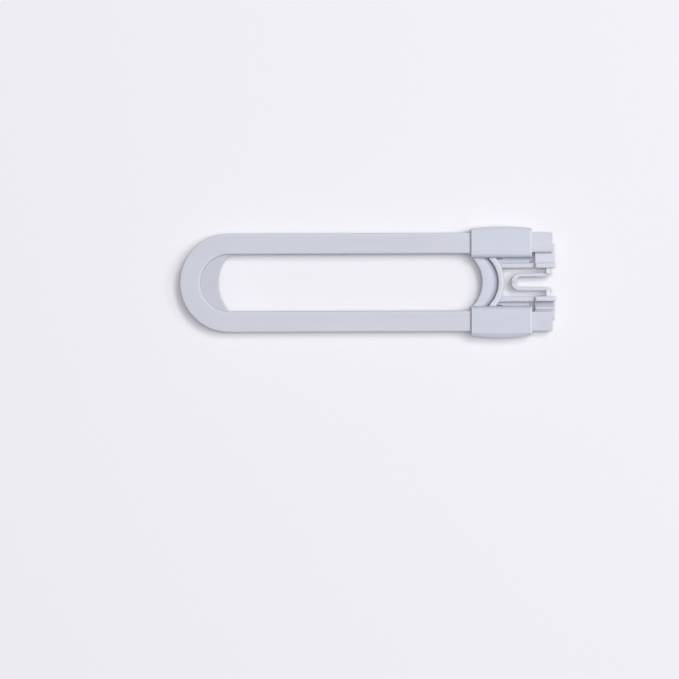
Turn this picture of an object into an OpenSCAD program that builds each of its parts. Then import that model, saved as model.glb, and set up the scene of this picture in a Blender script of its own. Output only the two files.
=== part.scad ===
// Sliding cabinet safety lock
//
// A U-shaped bow passes round two handles of a cabinet. A slider runs on its two arms and closes the
// open end. A pawl on each squeeze tab sits in a row of ratchet teeth, hidden in a groove along the
// inside of each arm, and holds the slider until both tabs are squeezed together.
//
// Frame: +X along the bow, from its closed end to its open ends, +Y towards the upper arm, and +Z out
// of the front face, in millimetres. The origin is under the middle of the lock, on the surface that the
// lock lies on. The lower half mirrors the upper half.

/* [Bow] */
// Length of the bow, from its closed end to the ends of its arms
bow_length = 188.4; // [160:0.4:240]
// Width across the outsides of the two arms
bow_width = 49.8; // [47:0.2:58]
// Width of each arm, seen from the front
arm_width = 10.5; // [9.5:0.1:11.5]
// Depth of the bow, from front to back
bow_depth = 10; // [9:0.5:14]
// Rounding along the edges of the bow
bow_edge_r = 1.2; // [0.6:0.1:1.6]
// Width of the recessed web inside the closed end, where it is widest
web_width = 8.8; // [5:0.1:10]
// Depth of the web's face below the front of the bow
web_drop = 2.7; // [1.5:0.1:4]
// Thickness of the web
web_thickness = 3; // [2:0.5:4.5]

/* [Ratchet] */
// Depth of the groove in the inside of each arm
groove_depth = 5.4; // [4.4:0.1:6]
// Wall left in front of the groove and behind it
groove_wall = 2.2; // [1.8:0.1:2.6]
// Length of the groove, from the end of the arm
groove_length = 140.5; // [100:0.5:150]
// Distance from one ratchet tooth to the next
tooth_pitch = 4; // [3.6:0.1:4.4]
// Height of a ratchet tooth
tooth_height = 1.5; // [1.2:0.1:1.8]
// Width of a tooth's flat tip
tooth_tip = 0.4; // [0.2:0.05:0.6]
// Slant of a tooth's holding face
tooth_draft = 0.75; // [0.6:0.05:0.9]
// Length of a tooth's ramp
tooth_ramp = 2.2; // [1.8:0.1:2.4]

/* [Slider] */
// Length of each sleeve
sleeve_length = 30; // [24:0.5:40]
// How far the arms stand out of the sleeves
arm_stand_out = 10.9; // [10.4:0.1:30]
// Wall of a sleeve, in front of the arm and behind it
sleeve_wall = 2.4; // [1.8:0.1:3]
// Wall of a sleeve on the outer side of the arm, at the middle of the sleeve
outer_wall = 2.9; // [2.4:0.1:3.6]
// Wall of a sleeve on the inner side of the arm
inner_wall = 1.9; // [1.8:0.1:3]
// How much further the outer side stands out at its middle than at its ends
sleeve_bulge = 1.1; // [0.2:0.1:1.2]
// Rounding along the sleeves
sleeve_edge_r = 2; // [1:0.1:2.2]
// Running gap between an arm and its sleeve
slide_gap = 0.3; // [0.2:0.05:0.4]
// Depth of the bridge's hollow edge, which the handle meets, at its middle, from the sleeves' inner ends
throat_reach = 5.2; // [4:0.1:6.5]
// Depth of the hollow edge where it meets the sleeves
throat_foot = 0.2; // [0:0.1:1]
// Depth of the bridge's face below the front of the bow
bridge_drop = 2.7; // [1.5:0.1:4]
// Thickness of the bridge
bridge_thickness = 3; // [2:0.5:4.5]
// Depth of the ledge's face below the front of the bow
ledge_drop = 6; // [4:0.1:6.5]
// Thickness of the ledge
ledge_thickness = 3; // [2:0.5:3.5]
// How far the ledge stops short of the sleeve's outer end
ledge_setback = 0.6; // [0.5:0.1:3]

/* [Latch] */
// Wall of the rim
rim_wall = 2.5; // [1.8:0.1:2.7]
// Reach of the rim's inside at its middle, from the inner ends of the sleeves
rim_reach = 13.4; // [12:0.1:14.5]
// Reach of the rim's inside where it meets the sleeves
rim_foot = 8.1; // [7:0.1:9]
// Depth of the rim's top below the front of the bow
rim_drop = 0.6; // [0.2:0.1:1.2]
// How far the rim's ends tuck into the sleeves
rim_tuck = 1.5; // [1.3:0.1:1.7]
// Thickness of each spring arm
spring_wall = 2; // [1.4:0.1:2.2]
// Depth of the springs' front edges below the front of the bow
spring_drop = 2; // [1.2:0.1:2.8]
// Height of the latch's back edges above the back of the bow
latch_lift = 2.3; // [1:0.1:2.6]
// Distance from the rim to the point that a spring arm bends about
flex_setback = 2.7; // [1.5:0.1:4]
// Gap between the end of a sleeve and the squeeze tab
tab_gap = 1.6; // [1.2:0.1:2]
// Length of the squeeze tab's fin
fin_length = 10.9; // [10.4:0.1:11.4]
// Thickness of the fin
fin_wall = 2.4; // [2:0.1:2.6]
// Height of the fin's top above the front of the bow
fin_rise = 2.6; // [0:0.1:2.7]
// Length of the block on the outer side of the fin
block_length = 10.8; // [10:0.1:11]
// Depth of the block's top below the front of the bow
block_drop = 1.4; // [1:0.1:3]
// Gap between the block and the arm
block_gap = 0.5; // [0.3:0.1:0.8]
// Gap between the teeth of the pawl and the teeth of the arm
mesh_gap = 0.3; // [0.2:0.05:0.35]
// Gap between the pawl and each side of the groove
pawl_side_gap = 0.5; // [0.3:0.1:0.8]

/* [Return spring] */
// Distance from the rim to the closed end of the return spring
return_gap = 4.1; // [2:0.1:5]
// Thickness of its legs
return_wall = 1.9; // [1.4:0.1:2.2]
// Thickness of its closed end
return_end_wall = 3.1; // [2:0.1:3.6]
// How far its legs turn outwards at their ends
return_flare = 0.7; // [0.3:0.1:1]
// Length over which they turn outwards
flare_length = 4.5; // [3:0.1:6]
// Distance from the ends of its legs to the ends of the fins
return_setback = 1.7; // [0.8:0.1:2.4]
// Width of the tie between each leg and its fin
tie_width = 2.1; // [1.5:0.1:3]
// Distance from the tie to the end of the leg
tie_setback = 1.2; // [0.6:0.1:1.5]

/* [Hidden] */
$fn = 96;

// How far a cut runs past what it cuts, and how deep one feature is rooted in another
overrun = 1;
root = 0.5;
// Gap round the rim's ends and along its inside, where it is clipped into the housing
seat_gap = 0.1;
// Gap in the round joint that stands for the bending place of a spring arm
flex_gap = 0.1;
// Rounding of the latch's edges
rim_edge_r = 0.8;
spring_edge_r = 0.4;
tab_edge_r = 0.5;
// Teeth on each pawl, and how far the first tooth's cell starts before the tab's inner end
pawl_teeth = 3;
pawl_lead = 1.15;
// Gap across the lock between a fin and the line of its ledge
fin_gap = 0.2;
// Shares of the room between a sleeve and the middle of the lock that the ledge and the tie take
ledge_share = 0.33;
tie_share = 0.333;
// Gap along X between a pawl tooth's ramp and the ramp that it lies on
ramp_gap = 0.55;

// Radius of an arc, from half its chord and its rise
function arc_r(half_chord, rise) = (half_chord * half_chord + rise * rise) / (2 * rise);

// Lock, whose squeeze tabs stand a little past the ends of the arms
tab_length = max(fin_length, block_length);
tab_overhang = max(0, tab_gap + tab_length - arm_stand_out);
lock_length = bow_length + tab_overhang;

// Bow
closed_x = -lock_length / 2;
open_x = closed_x + bow_length;
outer_y = bow_width / 2;
inner_y = outer_y - arm_width;
bend_x = closed_x + outer_y;
back_z = sleeve_wall + slide_gap;
front_z = back_z + bow_depth;
middle_z = back_z + bow_depth / 2;
web_reach = inner_y - web_width;
web_r = arc_r(inner_y, web_reach);
web_x = bend_x - web_reach + web_r;
web_z = front_z - web_drop - web_thickness;

// Groove and its teeth
groove_y = inner_y + groove_depth;
tip_y = groove_y - tooth_height;
groove_x = open_x - groove_length;
groove_height = bow_depth - 2 * groove_wall;

// Slider
sleeve_end_x = open_x - arm_stand_out;
sleeve_x = sleeve_end_x - sleeve_length;
tunnel_in_y = inner_y - slide_gap;
tunnel_out_y = outer_y + slide_gap;
tunnel_height = bow_depth + 2 * slide_gap;
sleeve_in_y = tunnel_in_y - inner_wall;
sleeve_out_y = tunnel_out_y + outer_wall;
sleeve_depth = tunnel_height + 2 * sleeve_wall;
bulge_r = arc_r(sleeve_length / 2, sleeve_bulge);
throat_r = arc_r(sleeve_in_y, throat_reach - throat_foot);
throat_x = sleeve_x + throat_reach - throat_r;
rim_r = arc_r(sleeve_in_y, rim_reach - rim_foot);
rim_x = sleeve_x + rim_reach - rim_r;
latch_room = sleeve_in_y - fin_gap - fin_wall - return_wall;
ledge_width = ledge_share * latch_room;
spring_y = sleeve_in_y - ledge_width - fin_gap - fin_wall / 2;
bridge_z = front_z - bridge_drop - bridge_thickness;
ledge_z = front_z - ledge_drop - ledge_thickness;
ledge_end_x = sleeve_end_x - ledge_setback;

// Latch
latch_z = back_z + latch_lift;
rim_out_r = rim_r + rim_wall;
rim_height = front_z - rim_drop - latch_z;
rim_end_y = sleeve_in_y + rim_tuck;
rim_half_angle = asin(rim_end_y / rim_out_r);
spring_height = front_z - spring_drop - latch_z;
rim_face_x = rim_x + sqrt(rim_out_r * rim_out_r - spring_y * spring_y);
flex_x = rim_face_x + flex_setback;
tab_x = sleeve_end_x + tab_gap;
fin_in_y = spring_y - fin_wall / 2;
fin_out_y = spring_y + fin_wall / 2;
fin_height = front_z + fin_rise - latch_z;
block_height = front_z - block_drop - latch_z;
block_out_y = inner_y - block_gap;

// Pawl: its cell of the ratchet starts at cell_x, and the arm's teeth are counted from there
cell_x = tab_x - pawl_lead;
cells_back = floor((cell_x - groove_x) / tooth_pitch);
cells_on = floor((open_x - cell_x) / tooth_pitch);
pawl_root_y = tip_y - mesh_gap;
pawl_tip_y = groove_y - mesh_gap;
holding_gap = mesh_gap * sqrt(1 + pow(tooth_draft / tooth_height, 2));

// Return spring
return_y = fin_in_y - tie_share * latch_room;
return_x = rim_x + rim_out_r + return_gap;
return_end_x = tab_x + fin_length - return_setback;
slot_y = return_y - return_wall;
flare_x = return_end_x - flare_length;
tie_end_x = return_end_x - tie_setback;

plastic = [0.81, 0.83, 0.87];
latch_plastic = [0.87, 0.88, 0.91];

// A rectangle with round corners, from its low corner to its high corner
module rounded_rect(low, high, r) {
    size = high - low;
    translate([low.x + r, low.y]) square([size.x - 2 * r, size.y]);
    translate([low.x, low.y + r]) square([size.x, size.y - 2 * r]);
    for (x = [low.x + r, high.x - r], y = [low.y + r, high.y - r])
        translate([x, y]) circle(r);
}

// A bar along X, whose cross-section is a rounded rectangle of Y and Z
module bar(x, length, low, high, r) {
    translate([x, 0, 0]) rotate([90, 0, 90]) linear_extrude(length) rounded_rect(low, high, r);
}

// Its child, and the same mirrored to the lower half of the lock
module both_halves() {
    children();
    mirror([0, 1, 0]) children();
}

// Outline of the groove with the ratchet teeth left standing on its floor
module groove_outline() {
    teeth = [for (k = [cells_on - 1 : -1 : -cells_back]) let (x = cell_x + k * tooth_pitch) each [
        [x + tooth_draft + tooth_tip + tooth_ramp, groove_y],
        [x + tooth_draft + tooth_tip, tip_y],
        [x + tooth_draft, tip_y],
        [x, groove_y]
    ]];
    polygon(concat(
        [[groove_x, inner_y - overrun], [open_x + overrun, inner_y - overrun], [open_x + overrun, groove_y]],
        teeth,
        [[groove_x, groove_y]]
    ));
}

module arm() {
    difference() {
        bar(bend_x, open_x - bend_x, [inner_y, back_z], [outer_y, front_z], bow_edge_r);
        translate([0, 0, back_z + groove_wall]) linear_extrude(groove_height) groove_outline();
    }
}

module closed_end() {
    translate([bend_x, 0, 0]) rotate([0, 0, 90]) rotate_extrude(angle = 180)
        rounded_rect([inner_y, back_z], [outer_y, front_z], bow_edge_r);
}

// The recessed crescent that fills the inside of the bend
module web() {
    translate([0, 0, web_z]) linear_extrude(web_thickness) difference() {
        intersection() {
            translate([bend_x, 0]) circle(inner_y + root);
            translate([-bow_length, -bow_width]) square([bow_length + bend_x, 2 * bow_width]);
        }
        translate([web_x, 0]) circle(web_r);
    }
}

module bow() {
    color(plastic) {
        both_halves() arm();
        closed_end();
        web();
    }
}

// A sleeve without its tunnel: round along its edges, and swelling on its outer side
module sleeve_body() {
    intersection() {
        bar(sleeve_x, sleeve_length, [sleeve_in_y, 0], [sleeve_out_y, sleeve_depth], sleeve_edge_r);
        translate([sleeve_x + sleeve_length / 2, sleeve_out_y - bulge_r, -overrun])
            cylinder(h = sleeve_depth + 2 * overrun, r = bulge_r, $fn = 720);
    }
}

module tunnel() {
    translate([sleeve_x - overrun, tunnel_in_y, sleeve_wall])
        cube([sleeve_length + 2 * overrun, tunnel_out_y - tunnel_in_y, tunnel_height]);
}

// The ledge along the inside of a sleeve, from the rim outwards
module ledge() {
    difference() {
        translate([rim_x, sleeve_in_y - ledge_width, ledge_z])
            cube([ledge_end_x - rim_x, ledge_width + root, ledge_thickness]);
        translate([rim_x, 0, ledge_z - overrun])
            cylinder(h = ledge_thickness + 2 * overrun, r = rim_out_r + seat_gap);
    }
}

// The plate between the sleeves, with the hollow edge that the handle meets
module bridge() {
    translate([0, 0, bridge_z]) linear_extrude(bridge_thickness) difference() {
        intersection() {
            translate([rim_x, 0]) circle(rim_r - seat_gap);
            translate([sleeve_x, -sleeve_in_y - root]) square([rim_reach, 2 * (sleeve_in_y + root)]);
        }
        translate([throat_x, 0]) circle(throat_r);
    }
}

// The space that the rim's tucked ends take in the sleeves
module rim_seat() {
    translate([0, 0, latch_z - seat_gap]) linear_extrude(rim_height + 2 * seat_gap) difference() {
        intersection() {
            translate([rim_x, 0]) circle(rim_out_r + seat_gap);
            translate([sleeve_x, -rim_end_y - seat_gap]) square([rim_reach + rim_wall, 2 * (rim_end_y + seat_gap)]);
        }
        translate([rim_x, 0]) circle(rim_r - seat_gap);
    }
}

module slider_housing() {
    color(plastic) {
        difference() {
            both_halves() difference() {
                sleeve_body();
                tunnel();
            }
            rim_seat();
        }
        both_halves() ledge();
        bridge();
    }
}

// The fixed root of a spring arm, hollowed to take the arm's round end
module spring_root() {
    difference() {
        bar(rim_face_x - root, flex_setback + root, [spring_y - spring_wall / 2, latch_z],
            [spring_y + spring_wall / 2, latch_z + spring_height], spring_edge_r);
        translate([flex_x, spring_y, latch_z - overrun])
            cylinder(h = spring_height + 2 * overrun, r = spring_wall / 2 + flex_gap);
    }
}

module latch_rim() {
    color(latch_plastic) {
        translate([rim_x, 0, 0]) rotate([0, 0, -rim_half_angle]) rotate_extrude(angle = 2 * rim_half_angle)
            rounded_rect([rim_r, latch_z], [rim_out_r, latch_z + rim_height], rim_edge_r);
        both_halves() spring_root();
    }
}

module spring_arm() {
    color(latch_plastic) {
        bar(flex_x, tab_x - flex_x, [spring_y - spring_wall / 2, latch_z],
            [spring_y + spring_wall / 2, latch_z + spring_height], spring_edge_r);
        translate([flex_x, spring_y, latch_z]) cylinder(h = spring_height, r = spring_wall / 2);
    }
}

// Outline of the pawl: a neck that reaches into the groove, and its teeth, the last cut off by the block's end
module pawl_outline() {
    reach = pawl_tip_y - block_out_y + root;
    slope = tooth_ramp / tooth_height;
    ramp_x = tooth_draft + tooth_tip + ramp_gap;
    teeth = [for (k = [0 : pawl_teeth - 1]) let (x = cell_x + k * tooth_pitch) each [
        [x + ramp_x - mesh_gap * slope, pawl_root_y],
        [x + ramp_x + (tooth_height - mesh_gap) * slope, pawl_tip_y],
        [x + tooth_pitch + mesh_gap * tooth_draft / tooth_height - holding_gap, pawl_tip_y],
        [x + tooth_pitch + (1 + mesh_gap / tooth_height) * tooth_draft - holding_gap, pawl_root_y]
    ]];
    intersection() {
        polygon(concat(
            [[tab_x, block_out_y - root], [tab_x, pawl_root_y]],
            teeth,
            [[tab_x + pawl_teeth * tooth_pitch, block_out_y - root]]
        ));
        translate([tab_x, block_out_y - root]) square([block_length, reach]);
    }
}

module squeeze_tab() {
    color(latch_plastic) {
        bar(tab_x, fin_length, [fin_in_y, latch_z], [fin_out_y, latch_z + fin_height], tab_edge_r);
        bar(tab_x, block_length, [fin_out_y - fin_wall / 2, latch_z],
            [block_out_y, latch_z + block_height], tab_edge_r);
        translate([0, 0, back_z + groove_wall + pawl_side_gap])
            linear_extrude(groove_height - 2 * pawl_side_gap) pawl_outline();
    }
}

// One half of the return spring's outline, beside the middle of the lock
module return_half() {
    difference() {
        union() {
            intersection() {
                translate([return_x + return_y, 0]) circle(return_y);
                translate([return_x, 0]) square([2 * return_y, return_y]);
            }
            polygon([
                [return_x + return_y, 0], [return_end_x, 0], [return_end_x, return_y + return_flare],
                [flare_x, return_y], [return_x + return_y, return_y]
            ]);
            translate([tie_end_x - tie_width, return_y - root]) square([tie_width, fin_in_y - return_y + root]);
        }
        translate([return_x + return_end_wall + slot_y, 0]) circle(slot_y);
        polygon([
            [return_x + return_end_wall + slot_y, -overrun], [return_end_x + overrun, -overrun],
            [return_end_x + overrun, slot_y + return_flare], [return_end_x, slot_y + return_flare],
            [flare_x, slot_y], [return_x + return_end_wall + slot_y, slot_y]
        ]);
    }
}

module return_spring() {
    color(latch_plastic) translate([0, 0, latch_z]) linear_extrude(spring_height) {
        return_half();
        mirror([0, 1]) return_half();
    }
}

bow();
slider_housing();
latch_rim();
spring_arm();  // upper_spring_arm
mirror([0, 1, 0]) spring_arm();  // lower_spring_arm
squeeze_tab();  // upper_squeeze_tab
mirror([0, 1, 0]) squeeze_tab();  // lower_squeeze_tab
return_spring();
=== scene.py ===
"""Sliding cabinet safety lock: a U-shaped bow, a slider on its arms and a sprung squeeze latch.

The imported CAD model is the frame. Sizes are in millimetres in that frame and become metres in the
meshes: +X runs from the bow's closed end to its open ends, +Y towards the upper arm, and +Z out of
the front face. The lower half mirrors the upper half, apart from what a piece's own text says.

Every piece is a wall: a closed cross-section carried between two edge curves that run side by side in
plan. A point of the section is given by its share of the way from the near curve to the far one, a
shift along that way, and a height, so that one section serves arms, sleeves, springs and crescents.
"""

import logging
import math
from dataclasses import dataclass, field, replace
from enum import Enum
from typing import Any

import bpy
import numpy as np
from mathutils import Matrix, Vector


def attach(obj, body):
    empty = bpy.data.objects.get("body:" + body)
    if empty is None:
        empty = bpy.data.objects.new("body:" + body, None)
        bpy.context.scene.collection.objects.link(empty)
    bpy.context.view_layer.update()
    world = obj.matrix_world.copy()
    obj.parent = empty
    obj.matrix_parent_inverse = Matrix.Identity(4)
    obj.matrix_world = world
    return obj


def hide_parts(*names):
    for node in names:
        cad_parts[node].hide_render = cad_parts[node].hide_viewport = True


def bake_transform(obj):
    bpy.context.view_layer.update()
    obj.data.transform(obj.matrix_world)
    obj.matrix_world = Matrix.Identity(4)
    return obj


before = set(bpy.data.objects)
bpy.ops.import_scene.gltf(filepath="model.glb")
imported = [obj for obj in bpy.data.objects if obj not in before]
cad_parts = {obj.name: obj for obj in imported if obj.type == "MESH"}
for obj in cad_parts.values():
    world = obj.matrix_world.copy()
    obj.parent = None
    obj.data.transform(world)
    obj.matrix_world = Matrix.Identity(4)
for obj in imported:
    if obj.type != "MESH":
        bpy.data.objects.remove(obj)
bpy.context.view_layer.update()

MM = 0.001
Pair = tuple[float, float]
Triple = tuple[float, float, float]
Row = tuple[float, ...]
Item = bpy.types.Object
Material = bpy.types.Material
Array = np.ndarray
log = logging.getLogger("lock")


class Half(Enum):
    """The two mirrored halves of the lock, with the sign of their side."""

    UPPER = 1
    LOWER = -1

    def low_only(self, value: float) -> float:
        """The value for the lower half, and 0 for the upper one."""
        return value if self is Half.LOWER else 0.0


def linear(srgb: Triple) -> tuple[float, float, float, float]:
    """Turns a colour of three 8-bit sRGB values into linear RGBA."""
    shares = (value / 255 for value in srgb)
    return (*(s / 12.92 if s <= 0.04045 else ((s + 0.055) / 1.055) ** 2.4 for s in shares), 1.0)


class Value:
    """A shader socket that takes part in sums: each operation on it adds one Math node."""

    def __init__(self, tree: "Tree", socket: Any) -> None:
        """Keeps the tree that the socket belongs to."""
        self.tree = tree
        self.socket = socket

    def _math(self, operation: str, *terms: Any) -> "Value":
        """Adds one Math node for an operation on these terms."""
        return self.tree.node("Math", dict(enumerate(terms)), operation=operation)

    def __add__(self, other: Any) -> "Value":
        """Sum."""
        return self._math("ADD", self, other)

    def __sub__(self, other: Any) -> "Value":
        """Difference."""
        return self._math("SUBTRACT", self, other)

    def __mul__(self, other: Any) -> "Value":
        """Product."""
        return self._math("MULTIPLY", self, other)

    def __abs__(self) -> "Value":
        """Size without its sign."""
        return self._math("ABSOLUTE", self)

    def root(self) -> "Value":
        """Square root."""
        return self._math("SQRT", self)

    def larger(self, other: "Value") -> "Value":
        """The larger of two values."""
        return self._math("MAXIMUM", self, other)

    def wrapped(self, span: float) -> "Value":
        """Distance to the middle of the nearest of a row of places that are span apart."""
        return abs(self._math("WRAP", self, span / 2, -span / 2))

    def step(self, low: float, high: float) -> "Value":
        """Smooth step from 0 at low to 1 at high, or down from 1 where low is the larger."""
        down = low > high
        ends = {"Value": self, "From Min": min(low, high), "From Max": max(low, high)}
        ends |= {"To Min": 1.0 if down else 0.0, "To Max": 0.0 if down else 1.0}
        return self.tree.node("MapRange", ends, interpolation_type="SMOOTHSTEP")


class Tree:
    """A node tree, with one method that adds any node."""

    def __init__(self, tree: bpy.types.NodeTree) -> None:
        """Keeps the tree."""
        self.tree = tree

    def node(self, kind: str, inputs: dict[Any, Any], output: Any = 0, **settings: Any) -> Value:
        """Adds a node.

        Args:
            kind: The node's type, as what follows ShaderNode in its name.
            inputs: The sockets, by name or number, with the value or the link of each.
            output: Name or number of the output that is given back.
            settings: The node's own properties, set before its sockets.

        Returns:
            The output, ready for sums.
        """
        item = self.tree.nodes.new(f"ShaderNode{kind}")
        for name, setting in settings.items():
            setattr(item, name, setting)
        for name, given in inputs.items():
            self.feed(item.inputs[name], given)
        return Value(self, item.outputs[output])

    def feed(self, socket: Any, given: Any) -> None:
        """Links a value to a socket, or sets a plain number or colour on it."""
        if isinstance(given, Value):
            self.tree.links.new(given.socket, socket)
        else:
            socket.default_value = given


class Recipe(Tree):
    """A material's node tree, with the textures that the finishes need."""

    def __init__(self, name: str) -> None:
        """Starts a material that has a Principled shader only."""
        self.material = bpy.data.materials.new(name)
        self.material.use_nodes = True
        super().__init__(self.material.node_tree)
        self.shader = self.tree.nodes["Principled BSDF"]
        self.place = self.node("TexCoord", {}, "Object")
        self.x, self.y, self.z = (self.node("SeparateXYZ", {0: self.place}, axis) for axis in "XYZ")

    def noise(self, size_mm: float, stretch: float = 1.0, detail: float = 2.0) -> Value:
        """Noise from 0 to 1 whose blots are about size_mm across, and stretch times as long along X."""
        place = self.node("Mapping", {"Vector": self.place, "Scale": (1 / stretch, 1.0, 1.0)})
        ends = {"Vector": place, "Scale": 1 / (size_mm * MM), "Detail": detail, "Roughness": 0.55}
        return self.node("TexNoise", ends, "Fac")

    def blend(self, share: Any, low: Any, high: Any) -> Value:
        """Mix of two colours, all low at a share of 0 and all high at 1."""
        return self.node("Mix", {0: share, 6: low, 7: high}, 2, data_type="RGBA")


@dataclass(frozen=True)
class MouldedPlastic:
    """A finish of injection-moulded plastic.

    Fine grain and a slow ripple come from the mould, and the colour drifts a little where the plastic
    flowed.
    The rounded edges are smoother and carry a painted highlight, a fine ridge marks the line where the two
    halves of the mould met, and hair-fine marks run along what slides. Below painted_shade_z the colour is
    blended towards a darker one, which is painted shade. The drift, the hairs and the patches are noises,
    each given by the size of its blots in millimetres and how many times as long they are along X.
    """

    name: str
    slot: str
    colour: Triple
    deep: Triple
    rubbed_highlight: Triple
    roughness: float
    drift: Pair = (26.0, 2.2)
    drift_rough: float = 0.10
    cloud_mm: float = 6.5
    cloud_share: float = 0.35
    flow_step: Pair = (0.3, 0.75)
    grain_mm: float = 0.3
    grain_lift_mm: float = 0.009
    grain_rough: float = 0.12
    ripple_mm: float = 5.0
    ripple_lift_mm: float = 0.010
    rubbed_rough: float = -0.08
    parting_z: float | None = None
    parting_width: float = 0.12
    parting_lift_mm: float = 0.05
    pin_span: float = 0.0
    pin_y: float = 0.0
    pin_r: float = 1.6
    pin_ring: float = 0.22
    pin_top_z: float = 0.0
    pin_reach: float = 0.2
    pin_lift_mm: float = 0.05
    painted_shade: Triple | None = None
    painted_shade_z: float = 11.0
    painted_shade_fade: float = 0.6
    painted_shade_share: float = 0.9
    slide_marks: float = 0.0
    slide_from_x: float = -66.0
    slide_fade: float = 25.0
    slide_tone: float = 0.5
    slide_rough: float = -0.14
    slide_lift_mm: float = -0.006
    hairs: Pair = (0.5, 60.0)
    hair_step: Pair = (0.56, 0.72)
    patches: Pair = (9.0, 3.0)
    patch_step: Pair = (0.42, 0.62)
    see_in: float = 0.0
    see_in_mm: float = 1.5

    def pins(self, recipe: Recipe) -> Value:
        """Rings left on the back by the pins that push the piece out of its mould, in a row along X."""
        along = recipe.x.wrapped(self.pin_span * MM)
        across = abs(recipe.y) - self.pin_y * MM
        away = (along * along + across * across).root()
        ring = abs(away - self.pin_r * MM).step(self.pin_ring * MM, 0.0)
        return ring * recipe.z.step((self.pin_top_z + self.pin_reach) * MM, self.pin_top_z * MM)

    def slid(self, recipe: Recipe) -> Value:
        """Hair-fine marks drawn out along X, from 0 to 1, which fade in where sliding starts."""
        hairs = recipe.noise(*self.hairs).step(*self.hair_step)
        patches = recipe.noise(*self.patches).step(*self.patch_step)
        reach = recipe.x.step(self.slide_from_x * MM, (self.slide_from_x + self.slide_fade) * MM)
        return hairs * patches * reach * self.slide_marks

    def make(self) -> Material:
        """Makes the material."""
        recipe = Recipe(self.name)
        drift = recipe.noise(*self.drift, 3.0)
        cloud = recipe.noise(self.cloud_mm)
        grain = recipe.noise(self.grain_mm, detail=3.0)
        ripple = recipe.noise(self.ripple_mm)
        edge = recipe.node("Attribute", {}, "Fac", attribute_name="edge")
        rest = 1 - self.cloud_share
        flow = (drift * rest + cloud * self.cloud_share).step(*self.flow_step)
        tone = recipe.blend(flow, linear(self.colour), linear(self.deep))
        # Painted shade: below this height the colour is blended darker, standing in for the shade on the
        # bow's sides and in its recesses.
        if self.painted_shade is not None:
            high, low = (self.painted_shade_z + self.painted_shade_fade) * MM, (self.painted_shade_z - self.painted_shade_fade) * MM
            tone = recipe.blend(recipe.z.step(high, low) * self.painted_shade_share, tone, linear(self.painted_shade))
        # Painted highlight: the edge value lightens the rounded edges and ends, standing in for the light
        # they catch; the same value also makes them smoother.
        tone = recipe.blend(edge * (cloud * self.cloud_share + rest), tone, linear(self.rubbed_highlight))
        rough = (drift - 0.5) * self.drift_rough + (grain - 0.5) * self.grain_rough
        rough = rough + edge * self.rubbed_rough + self.roughness
        height = grain * (self.grain_lift_mm * MM) + ripple * (self.ripple_lift_mm * MM)
        if self.slide_marks > 0:
            marks = self.slid(recipe)
            tone = recipe.blend(marks * self.slide_tone, tone, linear(self.rubbed_highlight))
            rough = rough + marks * self.slide_rough
            height = height + marks * (self.slide_lift_mm * MM)
        if self.parting_z is not None:
            off = abs(recipe.z - self.parting_z * MM)
            height = height + off.step(self.parting_width * MM, 0.0) * (self.parting_lift_mm * MM)
        if self.pin_span:
            height = height - self.pins(recipe) * (self.pin_lift_mm * MM)
        ends = {"Height": height, "Distance": 1.0, "Strength": 1.0}
        bump = recipe.node("Bump", ends, "Normal")
        looks = {"Base Color": tone, "Roughness": rough, "Normal": bump}
        if self.see_in > 0:
            looks |= {"Subsurface Weight": self.see_in, "Subsurface Scale": self.see_in_mm * MM}
            looks["Subsurface Radius"] = (1.0, 1.0, 1.0)
        for name, given in looks.items():
            recipe.feed(recipe.shader.inputs[name], given)
        return recipe.material


@dataclass(frozen=True)
class Corner:
    """A corner of a section: its share and shift across the wall, its height, its rounding and how strongly
    its edge shows wear and painted highlight.
    """

    share: float
    shift: float
    z: float
    r: float = 0.0
    wear_highlight: float = 1.0


class Section:
    """A closed cross-section with square, rounded corners, listed counterclockwise across and up.

    A row of the list holds a corner's values in their order. A corner c, whose neighbours lie in the unit
    directions p and n, becomes the arc of points c + r (p + n) - r (n cos t + p sin t) for t from 0 to a
    quarter turn. Where the section is drawn in near an end, the corner moves along the sum of the inward
    normals of its two sides.
    """

    def __init__(self, rows: list[Row], steps: int = 6) -> None:
        """Works out the arrays of all points from the corners, with so many steps to a quarter turn."""
        self.rows = rows
        corners = [Corner(*row) for row in rows]
        # Only directions are read off here, so the two edge curves are taken to lie far apart.
        across = np.array([c.share * 1000 + c.shift for c in corners])
        up = np.array([c.z for c in corners])
        place = np.stack([across, up], axis=1)
        before = np.sign(np.roll(place, 1, axis=0) - place)
        after = np.sign(np.roll(place, -1, axis=0) - place)
        parts: list[list[Array]] = []
        for number, corner in enumerate(corners):
            count = steps + 1 if corner.r > 0 else 1
            turn = np.linspace(0, math.pi / 2, count)[:, None]
            p, n = before[number], after[number]
            points = corner.r * (p + n) - corner.r * (n * np.cos(turn) + p * np.sin(turn))
            inward = np.array([p[1], -p[0]]) + np.array([-n[1], n[0]])
            parts.append([
                np.full(count, corner.share),
                corner.shift + points[:, 0],
                corner.z + points[:, 1],
                np.tile(inward, (count, 1)),
                np.sin(2 * turn[:, 0]) * corner.wear_highlight if corner.r > 0 else np.array([corner.wear_highlight]),
                np.full(count, number),
            ])
        self.share, self.shift, self.z, self.inset, self.edge, self.corner = (
            np.concatenate([part[k] for part in parts]) for k in range(6)
        )
        rise = (self.z - self.z.min()) / np.ptp(self.z) * 2 - 1
        self.belly = self.share * (1 - rise**12)

    @classmethod
    def of(cls, low: float, high: float, radii: Row, steps: int = 6, wear_highlight: float = 1.0) -> "Section":
        """A rectangle with its own rounding at each corner.

        Args:
            low: Height of its bottom.
            high: Height of its top.
            radii: Rounding at near low, far low, far high and near high.
            steps: Points to a quarter turn.
            wear_highlight: How strongly its edges show wear and painted highlight, from 0 to 1.

        Returns:
            The section.
        """
        places = ((0.0, low), (1.0, low), (1.0, high), (0.0, high))
        return cls([(share, 0.0, z, r, wear_highlight) for (share, z), r in zip(places, radii)], steps)


def sampled(at: Array, along: Array, table: Array) -> Array:
    """A table that has a row for each distance along a curve, read at other distances."""
    return np.stack([np.interp(at, along, column) for column in table.T], axis=1)


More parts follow.
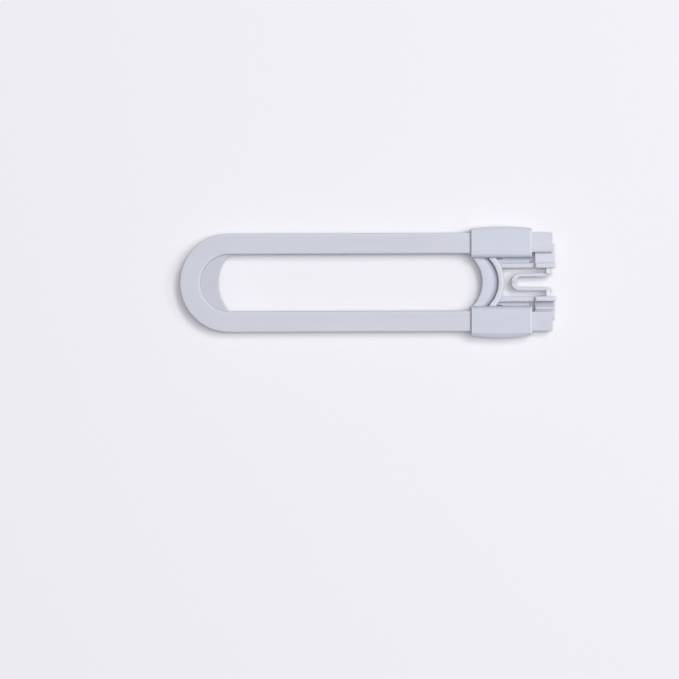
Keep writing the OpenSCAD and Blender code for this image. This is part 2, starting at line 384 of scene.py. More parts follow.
@dataclass
class Wall:
    """A section carried between two edge curves in plan.

    Station i of the wall has the near point N and the far point F. A point of the section with share
    s, shift d and height z lies at N + s (F - N) + d u, at height z, where u is the unit vector from N
    to F. Shifts and lifts add to d and z, with a row for each station and a number for each corner. Within
    a rounding r of an end, at a distance q from it, the section is drawn in by r - sqrt(r^2 - (r - q)^2).
    A bulge b moves the far side out by b (1 - h^12), where h runs from -1 at the bottom of the section to
    1 at its top. The edge value is 1 along the middle of a rounded edge and 0 on a flat; it marks wear,
    which makes the edge smoother, and painted highlight, which makes it lighter. It rises with what is drawn
    in, and within a width w of an end it is at least (1 - q / w) to the power end_fade.
    """

    section: Section
    near: Array
    far: Array
    along: Array
    ends: Pair = (0.0, 0.0)
    shifts: Array | None = None
    lifts: Array | None = None
    bulges: Array | None = None
    end_wear_highlight: Pair = (0.0, 0.0)
    end_fade: float = 0.7
    end_steps: int = 5
    drawn_wear_highlight: float = 2.5

    def stations(self) -> Array:
        """Distances of all stations, with more of them in the rounding at each end."""
        first, last = self.along[[0, -1]]
        turn = 1 - np.sin(np.linspace(0, math.pi / 2, self.end_steps + 1))
        rounded = [first + self.ends[0] * turn, last - self.ends[1] * turn]
        wear_highlight = [first + self.end_wear_highlight[0], last - self.end_wear_highlight[1]]
        return np.unique(np.round(np.concatenate([self.along, *rounded, wear_highlight]), 5))

    def points(self) -> tuple[Array, Array]:
        """Works out the grid.

        Returns:
            Points of shape (stations, section points, 3) in millimetres, and the edge value of each.
        """
        at = self.stations()
        near, far = (sampled(at, self.along, side) for side in (self.near, self.far))
        across = far - near
        unit = across / np.linalg.norm(across, axis=1, keepdims=True)
        drawn = np.zeros(len(at))
        reach = (at - at[0], at[-1] - at)
        for r, q in zip(self.ends, reach):
            inner = np.clip(r - q, 0, r)
            drawn = np.maximum(drawn, r - np.sqrt(r * r - inner * inner))
        s = self.section
        shift = s.shift + drawn[:, None] * s.inset[:, 0]
        z = s.z + drawn[:, None] * s.inset[:, 1]
        if self.shifts is not None:
            shift = shift + sampled(at, self.along, self.shifts)[:, s.corner]
        if self.lifts is not None:
            z = z + sampled(at, self.along, self.lifts)[:, s.corner]
        if self.bulges is not None:
            shift = shift + np.interp(at, self.along, self.bulges)[:, None] * s.belly
        plan = near[:, None] + s.share[:, None] * across[:, None] + shift[..., None] * unit[:, None]
        wear_highlight = np.clip(drawn * self.drawn_wear_highlight, 0, 1)
        for width, q in zip(self.end_wear_highlight, reach):
            if width > 0:
                wear_highlight = np.maximum(wear_highlight, np.clip(1 - q / width, 0, 1) ** self.end_fade)
        edge = np.maximum(s.edge, wear_highlight[:, None])
        return np.concatenate([plan, z[..., None]], axis=2), edge


def arc(centre: Pair, r: float, start: float, end: float, count: int) -> Array:
    """Points on a circle, at centre + r (cos a, sin a), for the angles in degrees from start to end."""
    turn = np.radians(np.linspace(start, end, count))
    return np.array(centre) + r * np.stack([np.cos(turn), np.sin(turn)], axis=1)


def circle_x(centre_x: float, r: float, y: Array, side: int) -> Array:
    """X on a circle round (centre_x, 0) at height y, on its right side for 1 and its left for -1."""
    return centre_x + side * np.sqrt(r * r - y * y)


def spots(x: Any, y: Any) -> Array:
    """Points in plan from their places along X and Y, one of which may be a single number."""
    return np.stack(np.broadcast_arrays(x, y), axis=1)


def runs(points: Array) -> Array:
    """Distance of each point of a polyline from its start."""
    return np.concatenate([[0.0], np.cumsum(np.linalg.norm(np.diff(points, axis=0), axis=1))])


def evenly(points: Array, count: int) -> Array:
    """The same polyline with points at equal distances along it."""
    length = runs(points)
    return sampled(np.linspace(0, length[-1], count), length, points)


def placed(name: str, data: Any) -> Item:
    """Adds an object with this data to the scene."""
    item = bpy.data.objects.new(name, data)
    bpy.context.scene.collection.objects.link(item)
    return item


@dataclass
class Shell:
    """A closed mesh put together from grids and end faces, turned so that its faces point outwards.

    Edges that turn by more than sharp degrees stay sharp.
    """

    sharp: float = 32.0
    points: list[Array] = field(default_factory=list)
    edge: list[Array] = field(default_factory=list)
    faces: list[list[int]] = field(default_factory=list)
    count: int = 0

    def add(self, points: Array, edge: Array) -> Array:
        """Adds points and gives back their numbers in the same layout."""
        numbers = np.arange(self.count, self.count + edge.size).reshape(edge.shape)
        self.points.append(points.reshape(-1, 3))
        self.edge.append(edge.reshape(-1))
        self.count += edge.size
        return numbers

    def skin(self, numbers: Array, turned: bool = False) -> None:
        """Adds the quads of a grid that is closed across and open along."""
        ahead = np.roll(numbers, -1, axis=1)
        quads = np.stack([numbers[:-1], ahead[:-1], ahead[1:], numbers[1:]], axis=-1).reshape(-1, 4)
        self.faces += (quads[:, ::-1] if turned else quads).tolist()

    def wall(self, wall: Wall) -> None:
        """Adds a wall with a flat face at both ends."""
        numbers = self.add(*wall.points())
        self.skin(numbers)
        self.faces.append(numbers[0][::-1].tolist())
        self.faces.append(numbers[-1].tolist())

    def tube(self, outer: Wall, inner: Wall) -> None:
        """Adds a wall with a passage of the same number of section points right through it."""
        outside, inside = (self.add(*wall.points()) for wall in (outer, inner))
        self.skin(outside)
        self.skin(inside, turned=True)
        self.skin(np.stack([outside[0], inside[0]]), turned=True)
        self.skin(np.stack([outside[-1], inside[-1]]))

    @classmethod
    def solid(cls, wall: Wall, name: str, material: Material, half: Half | None = None) -> Item:
        """Makes a piece of a single wall."""
        shell = cls()
        shell.wall(wall)
        return shell.piece(name, material, half)

    def piece(self, name: str, material: Material, half: Half | None = None) -> Item:
        """Makes the object, mirrored for the lower half.

        Args:
            name: Name of the piece.
            material: Its finish.
            half: The half that it belongs to, which its name then ends with.

        Returns:
            The object, at the origin, with its place in its mesh.
        """
        points = np.concatenate(self.points) * MM
        if half is not None:
            name = f"{name}_{half.name.lower()}"
            points[:, 1] *= half.value
        faces = self.faces
        if self._volume(points, faces) < 0:
            faces = [face[::-1] for face in faces]
        mesh = bpy.data.meshes.new(name)
        mesh.from_pydata(points.tolist(), [], faces)
        edge = mesh.attributes.new("edge", "FLOAT", "POINT")
        edge.data.foreach_set("value", np.concatenate(self.edge).astype(np.float32))
        mesh.shade_smooth()
        mesh.set_sharp_from_angle(angle=math.radians(self.sharp))
        mesh.materials.append(material)
        item = placed(name, mesh)
        item.modifiers.new("even faces", "WEIGHTED_NORMAL").keep_sharp = True
        log.info("%s: %d points, %d faces", name, len(points), len(faces))
        return item

    @staticmethod
    def _volume(points: Array, faces: list[list[int]]) -> float:
        """Six times the volume, summed over the triangles that each face splits into."""
        triangles = np.array([(f[0], f[k], f[k + 1]) for f in faces for k in range(1, len(f) - 1)])
        a, b, c = (points[triangles[:, k]] for k in range(3))
        return float(np.einsum("ij,ij->i", a, np.cross(b, c)).sum())


@dataclass
class Studio:
    """The camera, the pale floor and the lamps.

    The camera looks straight down on the floor from the middle of the picture, so that a millimetre in
    the plane of the lock's front face covers the same number of pixels all over the picture. A lamp is
    given by its share of the floor's light, and all shares add up to one.
    """

    picture_px: float = 679.0
    lock_px: Pair = (367.9, 282.35)
    lock_turn: float = 0.21
    mm_per_px: float = 0.505
    front_z: float = 12.7
    distance: float = 1600.0
    sensor: float = 36.0
    clip: Pair = (0.05, 20.0)
    floor_rgb: tuple[int, int, int] = (240, 239, 244)
    floor_rough: float = 0.9
    floor_half: float = 3000.0
    lamp_height: float = 3000.0
    lamp_parts: int = 21
    world_share: float = 0.20
    room_seen: float = 0.92

    def camera(self) -> None:
        """Makes the camera over the picture's middle, looking along -Z, and gives it to the scene.

        The lock lies in the picture turned by lock_turn degrees, its open ends up, so the camera is turned
        the other way about its own axis.
        """
        middle = self.picture_px / 2
        data = bpy.data.cameras.new("camera")
        data.sensor_width = self.sensor
        data.lens = self.sensor * (self.distance - self.front_z) / (self.picture_px * self.mm_per_px)
        data.clip_start, data.clip_end = self.clip
        item = placed("camera", data)
        turn = -math.radians(self.lock_turn)
        right = (middle - self.lock_px[0]) * self.mm_per_px * MM
        up = (self.lock_px[1] - middle) * self.mm_per_px * MM
        item.rotation_euler = (0.0, 0.0, turn)
        item.location = (
            right * math.cos(turn) - up * math.sin(turn),
            right * math.sin(turn) + up * math.cos(turn),
            self.distance * MM,
        )
        bpy.context.scene.camera = item

    def floor(self) -> None:
        """Lays the floor in the plane of the sleeves' backs, as wide as any view needs."""
        reach = self.floor_half * MM
        corners = [(-reach, -reach, 0), (reach, -reach, 0), (reach, reach, 0), (-reach, reach, 0)]
        mesh = bpy.data.meshes.new("floor")
        mesh.from_pydata(corners, [], [(0, 1, 2, 3)])
        item = placed("floor", mesh)
        material = bpy.data.materials.new("floor")
        material.use_nodes = True
        tone = linear(self.floor_rgb)
        looks = {"Base Color": tone, "Roughness": self.floor_rough, "Specular IOR Level": 0.0}
        for name, value in looks.items():
            material.node_tree.nodes["Principled BSDF"].inputs[name].default_value = value
        mesh.materials.append(material)

    def lamp(self, name: str, share: float, slant: Pair, size: Pair) -> Item:
        """Hangs a flat lamp that faces the middle of the floor.

        A lamp of area A, seen from the floor's middle over its parts at distance d and angle a from
        the vertical, with b between its own axis and the way down, gives the floor the share s when
        its power is s pi^2 A divided by the mean of A cos a cos b / d^2.

        Args:
            name: Name of the lamp.
            share: The share of the floor's light that it gives.
            slant: How far its middle stands along X and Y for each millimetre of its height.
            size: Its two sides, in millimetres.

        Returns:
            The lamp.
        """
        middle = Vector((slant[0], slant[1], 1.0)) * self.lamp_height * MM
        turn = middle.to_track_quat("Z", "Y")
        data = bpy.data.lights.new(name, "AREA")
        data.shape = "RECTANGLE"
        data.size, data.size_y = size[0] * MM, size[1] * MM
        u, v = np.meshgrid(*[np.linspace(-0.5, 0.5, self.lamp_parts)] * 2)
        sides = [np.array(turn @ Vector(axis)) for axis in ((1, 0, 0), (0, 1, 0))]
        parts = np.array(middle) + data.size * u[..., None] * sides[0]
        parts = parts + data.size_y * v[..., None] * sides[1]
        reach = np.linalg.norm(parts, axis=-1)
        facing = parts @ np.array(middle.normalized()) / reach
        area = data.size * data.size_y
        spread = (area * parts[..., 2] / reach * facing / reach**2).mean()
        data.energy = share * math.pi**2 * area / spread
        item = placed(name, data)
        item.location = middle
        item.rotation_mode = "QUATERNION"
        item.rotation_quaternion = turn
        return item

    def lights(self) -> None:
        """Lights the floor so that a colour renders as written; the camera and gloss see a paler room."""
        world = bpy.data.worlds.new("world")
        world.use_nodes = True
        tree = Tree(world.node_tree)
        seen, glossy = (tree.node("LightPath", {}, f"Is {ray} Ray") for ray in ("Camera", "Glossy"))
        strength = seen.larger(glossy) * (self.room_seen - self.world_share) + self.world_share
        backdrop = tree.tree.nodes["Background"]
        tree.feed(backdrop.inputs["Color"], (1, 1, 1, 1))
        tree.feed(backdrop.inputs["Strength"], strength)
        bpy.context.scene.world = world
        self.lamp("key", 0.30, (0.27, 0.09), (1200, 650))
        self.lamp("side key", 0.10, (0.60, 0.12), (900, 800))
        self.lamp("high key", 0.10, (0.24, 0.28), (600, 600))
        self.lamp("overhead", 0.30, (0.0, 0.0), (700, 700)).visible_glossy = False


@dataclass
class Bow:
    """The U-shaped bow: two arms and a round closed end, with a recessed crescent web in the bend.

    A groove with ratchet teeth runs along the inside of each arm. Past the sleeve an arm is a little
    narrower on its inside.
    """

    closed_x: float = -95.0
    open_x: float = 93.2
    outer_y: float = 24.9
    inner_y: float = 14.4
    back_z: float = 2.7
    front_z: float = 12.7
    edge_r: float = 1.2
    end_r: float = 0.45
    neck: float = 0.5
    neck_x: float = 82.9
    bend_steps: int = 72
    web_x: float = -54.386
    web_r: float = 21.314
    web_low: float = 7.0
    web_high: float = 10.0
    web_root: float = 0.5
    web_radii: Row = (0.1, 0.4, 0.55, 0.1)
    groove_x: float = -47.1
    groove_lead: float = 0.3
    groove_depth: float = 5.4
    groove_hair: float = 0.01
    groove_low: float = 4.9
    groove_high: float = 10.5
    tooth_x: float = 82.95
    tooth_pitch: float = 4.0
    tooth_height: float = 1.5
    tooth_draft: float = 0.75
    tooth_tip: float = 0.4
    tooth_ramp: float = 2.2
    teeth_back: int = 32
    teeth_on: int = 2

    @property
    def bend_x(self) -> float:
        """Middle of the bend, along the bow."""
        return self.closed_x + self.outer_y

    def groove(self) -> tuple[Array, Array]:
        """Depth of the groove along an arm.

        Returns:
            Places along X, rising, and the depth at each: 0 before the groove, its full depth in it, and
            less by a tooth's height on the flat tip of each tooth.
        """
        starts = self.tooth_x + self.tooth_pitch * np.arange(-self.teeth_back, self.teeth_on)
        steps = np.cumsum([0, self.tooth_draft, self.tooth_tip, self.tooth_ramp])
        dips = np.array([0, self.tooth_height, self.tooth_height, 0])
        x = (starts[:, None] + steps).ravel()
        depth = self.groove_depth - np.tile(dips, len(starts))
        lead = [self.bend_x, self.groove_x, self.groove_x + self.groove_lead]
        x = np.concatenate([lead, x, [self.open_x]])
        depth = np.concatenate([[0, 0, self.groove_depth], depth, [self.groove_depth]])
        return x, depth

    def loop(self) -> Wall:
        """The arms and the closed end, as one wall carried round the U.

        The section's last four corners are the groove's. The two on its floor lie a hair deep, so that its
        sides have a direction all round the bow, and the groove's depth is their shift.
        """
        r, hair = self.edge_r, self.groove_hair
        section = Section([
            (0, 0, self.back_z, r), (1, 0, self.back_z, r), (1, 0, self.front_z, r), (0, 0, self.front_z, r),
            (0, 0, self.groove_high, 0, 0), (0, hair, self.groove_high, 0, 0),
            (0, hair, self.groove_low, 0, 0), (0, 0, self.groove_low, 0, 0),
        ])
        x, depth = (values[::-1] for values in self.groove())
        neck = np.where(x >= self.neck_x, self.neck, 0.0)
        depth = depth - neck
        sides = []
        for side_y, inset in ((self.inner_y, neck), (self.outer_y, 0.0)):
            arm = spots(x, side_y + inset)
            turn = arc((self.bend_x, 0), side_y, 90, 270, self.bend_steps + 1)[1:-1]
            sides.append(np.concatenate([arm, turn, arm[::-1] * (1, -1)]))
        near, far = sides
        shifts = np.zeros((len(near), len(section.rows)))
        shifts[:, 5:7] = np.concatenate([depth, np.zeros(self.bend_steps - 1), depth[::-1]])[:, None]
        return Wall(section, near, far, runs((near + far) / 2), (self.end_r, self.end_r), shifts)

    def web(self) -> Wall:
        """The crescent web, as sections from the bend's inside to its hollow free edge."""
        y = self.inner_y * np.sin(np.linspace(-math.pi / 2, math.pi / 2, 61))
        near = spots(circle_x(self.bend_x, self.inner_y + self.web_root, y, -1), y)
        far = spots(circle_x(self.web_x, self.web_r, y, -1), y)
        section = Section.of(self.web_low, self.web_high, self.web_radii)
        return Wall(section, near, far, y)

    def build(self, finish: MouldedPlastic) -> None:
        """Makes the bow's two pieces and lets them stand for its node."""
        material = finish.make()
        for wall, name in ((self.loop(), "bow_loop"), (self.web(), "bow_web")):
            fit(Shell.solid(wall, name, material), "bow", "bow")


@dataclass
class Slider:
    """The slider housing: two sleeves on the arms, a crescent bridge between them, and their ledges.

    A pair in bridge_slope holds a distance from the rim and the share of bridge_fall there. A pair in
    slot_curve holds a distance from the end of a ledge's slot and how much narrower the slot is there.
    """

    start_x: float = 52.25
    end_x: float = 82.75
    inner_y: float = 12.2
    outer_y: float = 28.1
    depth: float = 15.4
    edge_r: float = 2.3
    end_r: float = 0.22
    bulge: float = 1.1
    # Widths at the ends that carry wear and painted highlight.
    end_wear_highlight: Pair = (0.5, 1.1)
    lip: float = 0.55
    lip_drop: float = 1.75
    lip_span: Pair = (13.7, 25.3)
    lip_seat: float = 0.05
    lip_gap: float = 0.2
    bevel: float = 1.3
    bevel_drop: float = 1.0
    bevel_rim: float = 0.6
    low_bevel_drop: float = 0.7
    tunnel_in_y: float = 14.1
    tunnel_out_y: float = 25.2
    tunnel_low: float = 2.4
    tunnel_high: float = 13.0
    tunnel_r: float = 0.3
    tunnel_cut: float = 0.1
    mouth: float = 0.7
    mouth_rise: float = 0.3
    throat_x: float = 40.5
    throat_r: float = 17.384
    bridge_low: float = 7.0
    bridge_high: float = 10.0
    bridge_lip_r: float = 0.6
    seat_gap: float = 0.1
    bridge_gap: float = 0.35
    bridge_fall: float = 2.4
    bridge_slope: tuple[Pair, ...] = ((0.0, 1.0), (0.9, 0.5), (1.9, 0.13), (3.0, 0.0))
    ledge_width: float = 2.541
    ledge_low: float = 3.7
    ledge_high: float = 7.2
    ledge_end_x: float = 81.9
    ledge_end_r: float = 0.4
    ledge_radii: Row = (0.2, 0.1, 0.1, 0.2)
    ledge_sink: float = 1.6
    slot_end_x: float = 68.7
    slot_width: float = 0.75
    slot_curve: tuple[Pair, ...] = ((1.6, 0.1), (0.5, 0.45))
    root: float = 0.5

    def sleeve(self, half: Half, material: Material) -> Item:
        """Makes a sleeve: a round-edged block whose outer side swells in an arc, with the arm's tunnel.

        The edges of its front and back are straight, and a bevel runs down from each, further on the lower
        sleeve. Between them its side stands out by b (1 - s^2), where s runs from -1 at one end of the
        sleeve to 1 at the other. A leaning lip stands over the arm at the end towards the bend.
        """
        x = np.linspace(self.start_x, self.end_x, 31)
        share = (x - self.start_x) / (self.end_x - self.start_x) * 2 - 1
        top, r, bevel = self.depth, self.edge_r, self.bevel
        drop = self.bevel_drop + half.low_only(self.low_bevel_drop)
        outline = Section([
            (0, 0, 0, r, 0.5), (1, -bevel, 0, 0, 0.3), (1, 0, drop, 0, 0.2), (1, 0, top / 2, 0, 0),
            (1, 0, top - drop, 0, 0.2), (1, -bevel, top, 0, 0.45), (1, -bevel - self.bevel_rim, top, 0, 0),
            (0, 1.5 * r, top, 0, 0), (0, 0, top, r, 0.15),
        ], 8)
        body = Wall(
            outline, spots(x, self.inner_y), spots(x, self.outer_y - self.bulge), x,
            (self.end_r, self.end_r), bulges=self.bulge * (1 - share**2), end_wear_highlight=self.end_wear_highlight,
        )
        shell = Shell()
        shell.tube(body, self.tunnel())
        shell.wall(self.leaning_lip())
        return shell.piece("sleeve", material, half)

    def tunnel(self) -> Wall:
        """The arm's tunnel, flared at both mouths, with as many section points as a sleeve's outline."""
        low, high, r, cut = self.tunnel_low, self.tunnel_high, self.tunnel_r, self.tunnel_cut
        start, end, mouth = self.start_x, self.end_x, self.mouth
        x = np.array([start, start + mouth, end - mouth, end])
        flare = np.array([mouth, 0, 0, mouth])
        section = Section([
            (0, 0, low, r, 0), (1, -cut, low, 0, 0), (1, 0, low + cut, 0, 0), (1, 0, (low + high) / 2, 0, 0),
            (1, 0, high - cut, 0, 0), (1, -cut, high, 0, 0), (1, -1, high, 0, 0), (0, 1, high, 0, 0),
            (0, 0, high, r, 0),
        ], 8)
        lifts = np.stack([-flare] * 3 + [0 * flare] + [flare * self.mouth_rise] * 5, axis=1)
        near, far = spots(x, self.tunnel_in_y - flare), spots(x, self.tunnel_out_y + flare)
        return Wall(section, near, far, x, lifts=lifts)

    def leaning_lip(self) -> Wall:
        """The wedge over the arm that leans out from the sleeve's end."""
        x = np.array([self.start_x - self.lip, self.start_x + self.lip_seat])
        near, far = (spots(x, y) for y in self.lip_span)
        low, high = self.tunnel_high + self.lip_seat, self.depth - self.lip_gap
        section = Section.of(low, high, (0.0,) * 4, wear_highlight=0)
        lifts = np.array([[0, 0, -self.lip_drop, -self.lip_drop], [0, 0, 0, 0]])
        return Wall(section, near, far, x, lifts=lifts)

    def bridge(self, latch: "Latch") -> Wall:
        """The bridge, as sections from its hollow free edge to the rim, where it falls away."""
        reach = self.inner_y + self.root
        y = np.linspace(-reach, reach, 61)
        near = spots(circle_x(self.throat_x, self.throat_r, y, 1), y)
        far = spots(circle_x(latch.rim_x, latch.rim_r, y, 1) - self.bridge_gap, y)
        low, high = self.bridge_low, self.bridge_high
        slope = [(1, -back, high - self.bridge_fall * share, 0, 0) for back, share in self.bridge_slope]
        section = Section([
            (0, 0, low, 0.4), (1, 0, low, 0.2), *slope,
            (0, 2 * self.bridge_lip_r, high, 0, 0), (0, 0, high, self.bridge_lip_r, 0.6),
        ])
        return Wall(section, near, far, y)

    def ledge(self, half: Half, latch: "Latch") -> Wall:
        """The narrow ledge along a sleeve's inside, with a slot between them next to the rim.

        The lower ledge lies deeper than the upper one.
        """
        low_y, slot_y = self.inner_y - self.ledge_width, self.inner_y - self.slot_width
        start = circle_x(latch.rim_x, latch.rim_out_r + self.seat_gap, np.array([low_y, slot_y]), 1)
        end = self.slot_end_x
        back, narrower = np.array(self.slot_curve).T
        far_x = np.concatenate([[start[1]], end - back, [end], np.linspace(end + 1, self.ledge_end_x, 8)])
        far_y = np.concatenate([[slot_y], slot_y + narrower, np.full(9, self.inner_y + self.root)])
        near_x = np.concatenate([[start[0]], far_x[1:]])
        high = self.ledge_high - half.low_only(self.ledge_sink)
        section = Section.of(self.ledge_low, high, self.ledge_radii)
        return Wall(section, spots(near_x, low_y), spots(far_x, far_y), near_x, (0.0, self.ledge_end_r))

    def build(self, finish: MouldedPlastic, latch: "Latch") -> None:
        """Makes the housing's pieces round a latch's rim and lets them stand for its node."""
        material = finish.make()
        items = [Shell.solid(self.bridge(latch), "bridge", material)]
        for half in Half:
            items.append(self.sleeve(half, material))
            items.append(Shell.solid(self.ledge(half, latch), "ledge", material, half))
        for item in items:
            fit(item, "slider", "slider_housing")


@dataclass
class Latch:
    """The latch moulding: the arched rim, two leaf springs with their squeeze tabs, and the return spring.

    The lower leaf, fin and block's inner side lie low_shift further out than the upper ones. A seat or a
    root is how far a piece reaches into its neighbour.
    """

    rim_x: float = 49.45
    rim_r: float = 16.692
    rim_out_r: float = 19.192
    rim_end_y: float = 13.6
    rim_top: float = 12.1
    rim_step: float = 0.16
    rim_ridge: float = 1.05
    rim_back: float = 0.7
    rim_draft: float = 0.7
    low: float = 5.0
    spring_top: float = 10.7
    spring_r: float = 0.4
    leaf_y: float = 8.3
    leaf_wall: float = 2.45
    leaf_x: float = 66.0
    leaf_seat: float = 0.5
    leaf_fillet: float = 0.5
    leaf_fillet_length: float = 2.2
    leaf_still: float = 6.0
    tab_x: float = 84.45
    fin_in_y: float = 6.95
    fin_out_y: float = 9.35
    fin_length: float = 10.35
    fin_top: float = 15.3
    fin_r: float = 0.5
    low_shift: float = 0.45
    block_out_y: float = 14.15
    block_seat: float = 1.2
    block_length: float = 10.1
    block_top: float = 11.3
    block_r: float = 0.4
    low_block_r: float = 1.2
    low_block_slope: float = 3.2
    pawl_low: float = 5.4
    pawl_high: float = 10.0
    pawl_r: float = 0.2
    pawl_x: float = 82.95
    pawl_seat: float = 0.6
    pawl_root_y: float = 18.0
    pawl_tip_y: float = 19.5
    pawl_pitch: float = 4.0
    pawl_teeth: int = 3
    pawl_rise: Row = (1.26, 3.46, 3.815, 4.565)
    return_x: float = 72.5
    return_y: float = 4.495
    return_wall: float = 1.9
    return_end_wall: float = 3.1
    return_end_x: float = 93.3
    return_corner_r: float = 1.5
    return_still: float = 3.0
    tongue: Pair = (1.2, 0.02)
    tongue_gap: float = 0.04
    flare: float = 0.8
    flare_length: float = 4.5
    tie_width: float = 2.1
    tie_low: float = 7.0
    tie_top: float = 12.6
    tie_end_x: float = 92.0
    tie_r: float = 0.7
    tie_roots: Pair = (0.3, 0.9)

    def rim(self) -> Wall:
        """The arched rim, with a raised ridge along its outer side."""
        angle = math.degrees(math.asin(self.rim_end_y / self.rim_out_r))
        near, far = (arc((self.rim_x, 0), r, -angle, angle, 61) for r in (self.rim_r, self.rim_out_r))
        low, top, ridge = self.low, self.rim_top, self.rim_ridge
        step = top - self.rim_step
        section = Section([
            (0, 0, low, 0.4), (1, self.rim_draft, low, 0, 0), (1, 0, top, 0.3), (1, -ridge, top, 0, 0.8),
            (1, -ridge, step, 0, 0.3), (0, self.rim_back, step, 0, 0.3), (0, 0, step, 0.35),
        ])
        return Wall(section, near, far, runs(far))

    def leaf(self, half: Half) -> Wall:
        """A leaf spring, with a fillet on both sides where it grows out of the rim."""
        start, end = self.leaf_x, self.tab_x + self.leaf_seat
        x = np.concatenate([np.linspace(start, start + 3, 13), np.linspace(start + 3.8, end, 20)])
        fillet = self.leaf_fillet * np.clip(1 - (x - start) / self.leaf_fillet_length, 0, 1) ** 2
        half_wall = self.leaf_wall / 2 + fillet
        y = self.leaf_y + half.low_only(self.low_shift)
        section = Section.of(self.low, self.spring_top, (self.spring_r,) * 4)
        return Wall(section, spots(x, y - half_wall), spots(x, y + half_wall), x)

    def return_leg(self) -> Wall:
        """Half of the return spring, from the middle of its closed end to its turned-out end.

        Its outside is a quarter circle and a straight side. Its slot ends in a flat with a rounded corner.
        A tongue, a hair smaller all round, reaches past the middle into the other half and hides the seam.
        """
        middle = self.return_x + self.return_y
        slot_y = self.return_y - self.return_wall
        inner_x = self.return_x + self.return_end_wall
        r = self.return_corner_r
        outer = evenly(arc((middle, 0), self.return_y, 180, 90, 25), 17)
        corner = arc((inner_x + r, slot_y - r), r, 180, 90, 13)
        inner = evenly(np.concatenate([[(inner_x, 0.0)], corner, [(middle, slot_y)]]), 17)
        flare_x, end_x = self.return_end_x - self.flare_length, self.return_end_x
        x = np.concatenate([np.linspace(middle, flare_x, 12)[1:], np.linspace(flare_x, end_x, 9)[1:]])
        turned = self.flare * np.clip((x - flare_x) / self.flare_length, 0, 1) ** 1.5
        y = -np.array(self.tongue)
        tongue = spots(circle_x(middle, self.return_y, y, -1), y)
        outer = np.concatenate([tongue, outer, spots(x, self.return_y + turned)])
        inner = np.concatenate([spots(inner_x, y), inner, spots(x, slot_y + turned)])
        shifts, lifts = (np.zeros((len(outer), 4)) for _ in range(2))
        gap = self.tongue_gap
        shifts[:2], lifts[:2] = (gap, -gap, -gap, gap), (gap, gap, -gap, -gap)
        section = Section.of(self.low, self.spring_top, (self.spring_r,) * 4)
        along = runs((inner + outer) / 2)
        return Wall(section, inner, outer, along, (0.0, self.spring_r), shifts, lifts)

    def fin(self, half: Half) -> Wall:
        """A tab's fin, the upright wall that a finger presses."""
        x = np.linspace(self.tab_x, self.tab_x + self.fin_length, 12)
        near, far = (spots(x, y + half.low_only(self.low_shift)) for y in (self.fin_in_y, self.fin_out_y))
        section = Section.of(self.low, self.fin_top, (self.fin_r,) * 4)
        return Wall(section, near, far, x, (self.fin_r, self.fin_r))

    def block(self, half: Half) -> Wall:
        """The block between a tab's fin and the arm; the lower one's top slopes down to the fin."""
        x = np.linspace(self.tab_x, self.tab_x + self.block_length, 12)
        near = spots(x, self.fin_out_y - self.block_seat + half.low_only(self.low_shift))
        far = spots(x, self.block_out_y)
        lifts = np.zeros((len(x), 4))
        lifts[:, 3] = -half.low_only(self.low_block_slope)
        r = self.block_r
        top_r = self.low_block_r if half is Half.LOWER else r
        section = Section.of(self.low, self.block_top, (r, r, top_r, r))
        return Wall(section, near, far, x, (r, r), lifts=lifts)

    def pawl(self) -> Wall:
        """The toothed pawl on a block's outer side, its last tooth cut off by the block's end."""
        starts = self.pawl_x + self.pawl_pitch * np.arange(self.pawl_teeth)
        x = (starts[:, None] + np.array(self.pawl_rise)).ravel()
        root, tip = self.pawl_root_y, self.pawl_tip_y
        y = np.tile([root, tip, tip, root], self.pawl_teeth)
        end_x = self.tab_x + self.block_length
        kept = x < end_x
        far_y = np.concatenate([[root], y[kept], [np.interp(end_x, x, y)]])
        x = np.concatenate([[self.tab_x], x[kept], [end_x]])
        section = Section.of(self.pawl_low, self.pawl_high, (self.pawl_r,) * 4, 3)
        return Wall(section, spots(x, self.block_out_y - self.pawl_seat), spots(x, far_y), x)

    def tie(self) -> Wall:
        """The tie between the return spring's leg and the fin."""
        y = np.linspace(self.return_y - self.tie_roots[0], self.fin_in_y + self.tie_roots[1], 8)
        near, far = (spots(x, y) for x in (self.tie_end_x - self.tie_width, self.tie_end_x))
        section = Section.of(self.tie_low, self.tie_top, (self.tie_r,) * 4)
        return Wall(section, near, far, y)

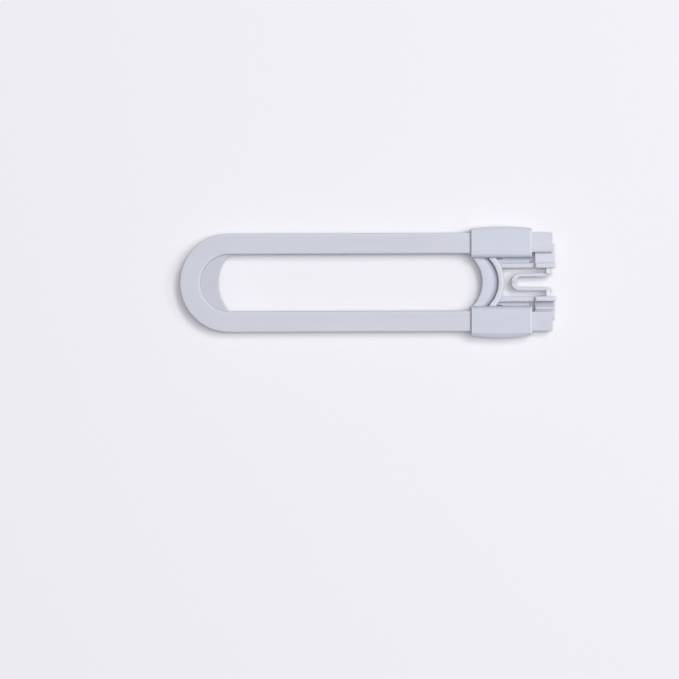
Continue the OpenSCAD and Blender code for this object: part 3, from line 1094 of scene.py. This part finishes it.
    def build(self, finish: MouldedPlastic, highlit_tie_finish: MouldedPlastic) -> None:
        """Makes the latch's pieces; the tabs ride on their own bodies and the springs are baked in place."""
        material, highlit_tie_material = finish.make(), highlit_tie_finish.make()
        fit(Shell.solid(self.rim(), "arched_rim", material), "slider", "latch_rim")
        for half in Half:
            name, side = half.name.lower(), half.value
            body = f"{name}_latch"
            leaf = Shell.solid(self.leaf(half), "leaf_spring", material, half)
            bend(leaf, f"{name}_spring_arm")
            leg = Shell.solid(self.return_leg(), "return_leg", material, half)
            bend(leg, "return_spring")
            tab = {"fin": self.fin(half), "block": self.block(half), "pawl": self.pawl(), "tie": self.tie()}
            for piece, wall in tab.items():
                # The ties take the paler finish, which is painted highlight.
                item = Shell.solid(wall, piece, highlit_tie_material if piece == "tie" else material, half)
                fit(item, body, f"{name}_squeeze_tab")


def fit(item: Item, body: str, node: str) -> None:
    """Lets a piece ride on a body and stand for a node, whose CAD part is hidden."""
    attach(item, body)
    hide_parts(node)


def bend(item: Item, node: str) -> None:
    """Bakes a spring's place into its mesh and hides the node that it stands for.

    Args:
        item: The spring.
        node: The node that it stands for.
    """
    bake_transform(item)
    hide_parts(node)


# Each finish lists its colour, its darker drift, and the lighter tone of its edges, which is painted
# highlight.
BOW_PLASTIC = MouldedPlastic(
    "bow plastic", "bow_plastic", (198, 200, 213), (194, 196, 209), (216, 219, 230), 0.46,
    # The darker colour given below the front is painted shade.
    parting_z=7.7, pin_span=37.0, pin_y=19.6, pin_top_z=2.7, painted_shade=(187, 189, 201), slide_marks=0.6,
)
SLIDER_PLASTIC = MouldedPlastic(
    "slider plastic", "slider_plastic", (196, 200, 213), (192, 195, 209), (220, 223, 233), 0.44,
    parting_z=7.7, pin_span=134.6, pin_y=20.15, pin_top_z=0.0, slide_marks=0.25, slide_from_x=0.0,
)
LATCH_PLASTIC = MouldedPlastic(
    "latch plastic", "latch_plastic", (202, 205, 217), (198, 201, 213), (222, 224, 233), 0.36,
    grain_lift_mm=0.004, ripple_lift_mm=0.008, see_in=0.8, see_in_mm=3.0,
)
# Painted highlight: a paler copy of the latch plastic, so that the small ties look as lit as the light they
# catch would make them.
TIE_HIGHLIT_PLASTIC = replace(
    LATCH_PLASTIC, name="highlit tie plastic",
    colour=(222, 224, 233), deep=(218, 220, 229), rubbed_highlight=(236, 237, 243),
)


def main() -> None:
    logging.basicConfig(level=logging.INFO, format="%(name)s: %(message)s")
    bpy.context.scene.view_settings.view_transform = "Standard"
    studio = Studio()
    studio.camera()
    studio.floor()
    studio.lights()
    latch = Latch()
    Bow().build(BOW_PLASTIC)
    Slider().build(SLIDER_PLASTIC, latch)
    latch.build(LATCH_PLASTIC, TIE_HIGHLIT_PLASTIC)


if __name__ == "__main__":
    main()
